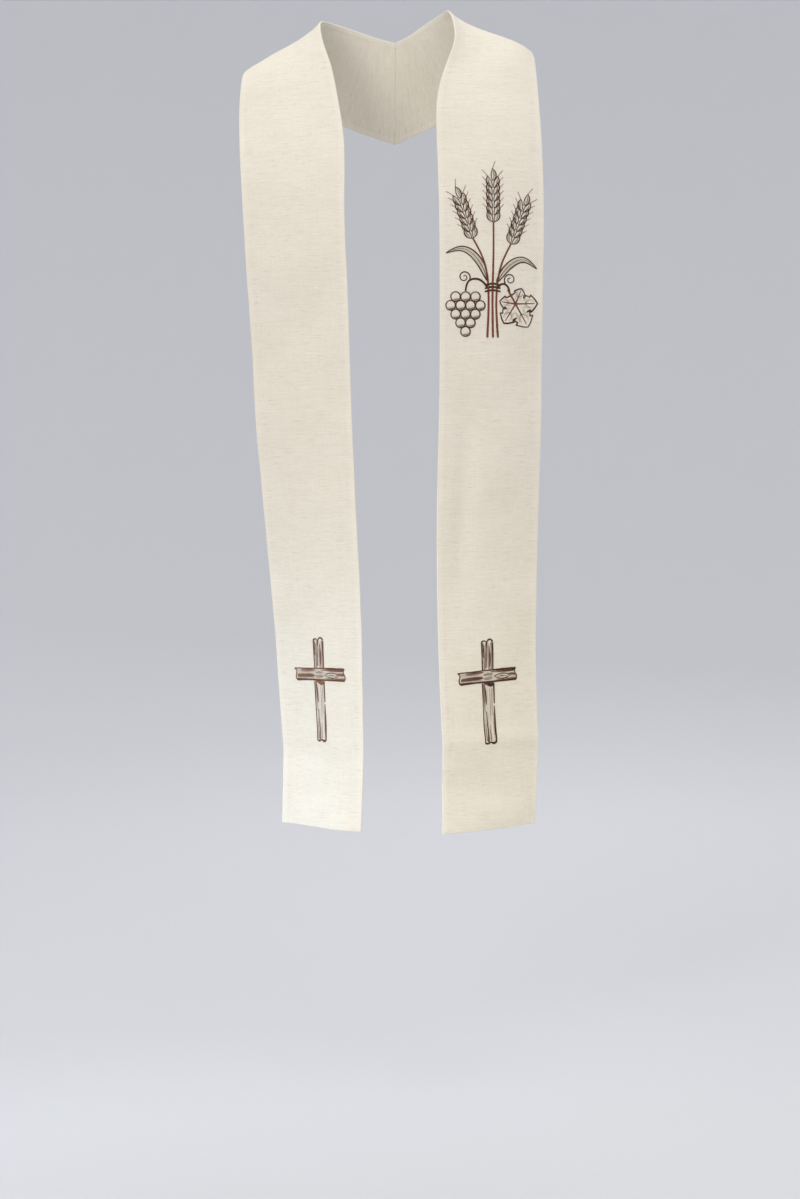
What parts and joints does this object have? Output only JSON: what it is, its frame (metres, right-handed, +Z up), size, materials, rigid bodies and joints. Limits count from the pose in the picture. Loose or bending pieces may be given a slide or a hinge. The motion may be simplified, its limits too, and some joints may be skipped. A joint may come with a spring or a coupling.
{
  "type": "clerical stole",
  "caption": "Long narrow cloth stole as worn round the neck: two flat bands hang straight down the front from the shoulders and meet in a slanted seam at the back of the neck.",
  "frame": {"origin": "nape: upper end of the centre back seam, where the stole rests on the wearer", "axes": "+Z up, -Y towards the front of the wearer, +X towards the wearer's left"},
  "size_m": [0.4289, 0.2483, 1.1698],
  "materials": {
    "ivory_linen": "matt, coarse linen weave",
    "brown_thread": "embroidery thread with a low sheen"
  },
  "bodies": {
    "root": {"right_band": "ivory_linen", "left_band": "ivory_linen"}
  },
  "joints": []
}
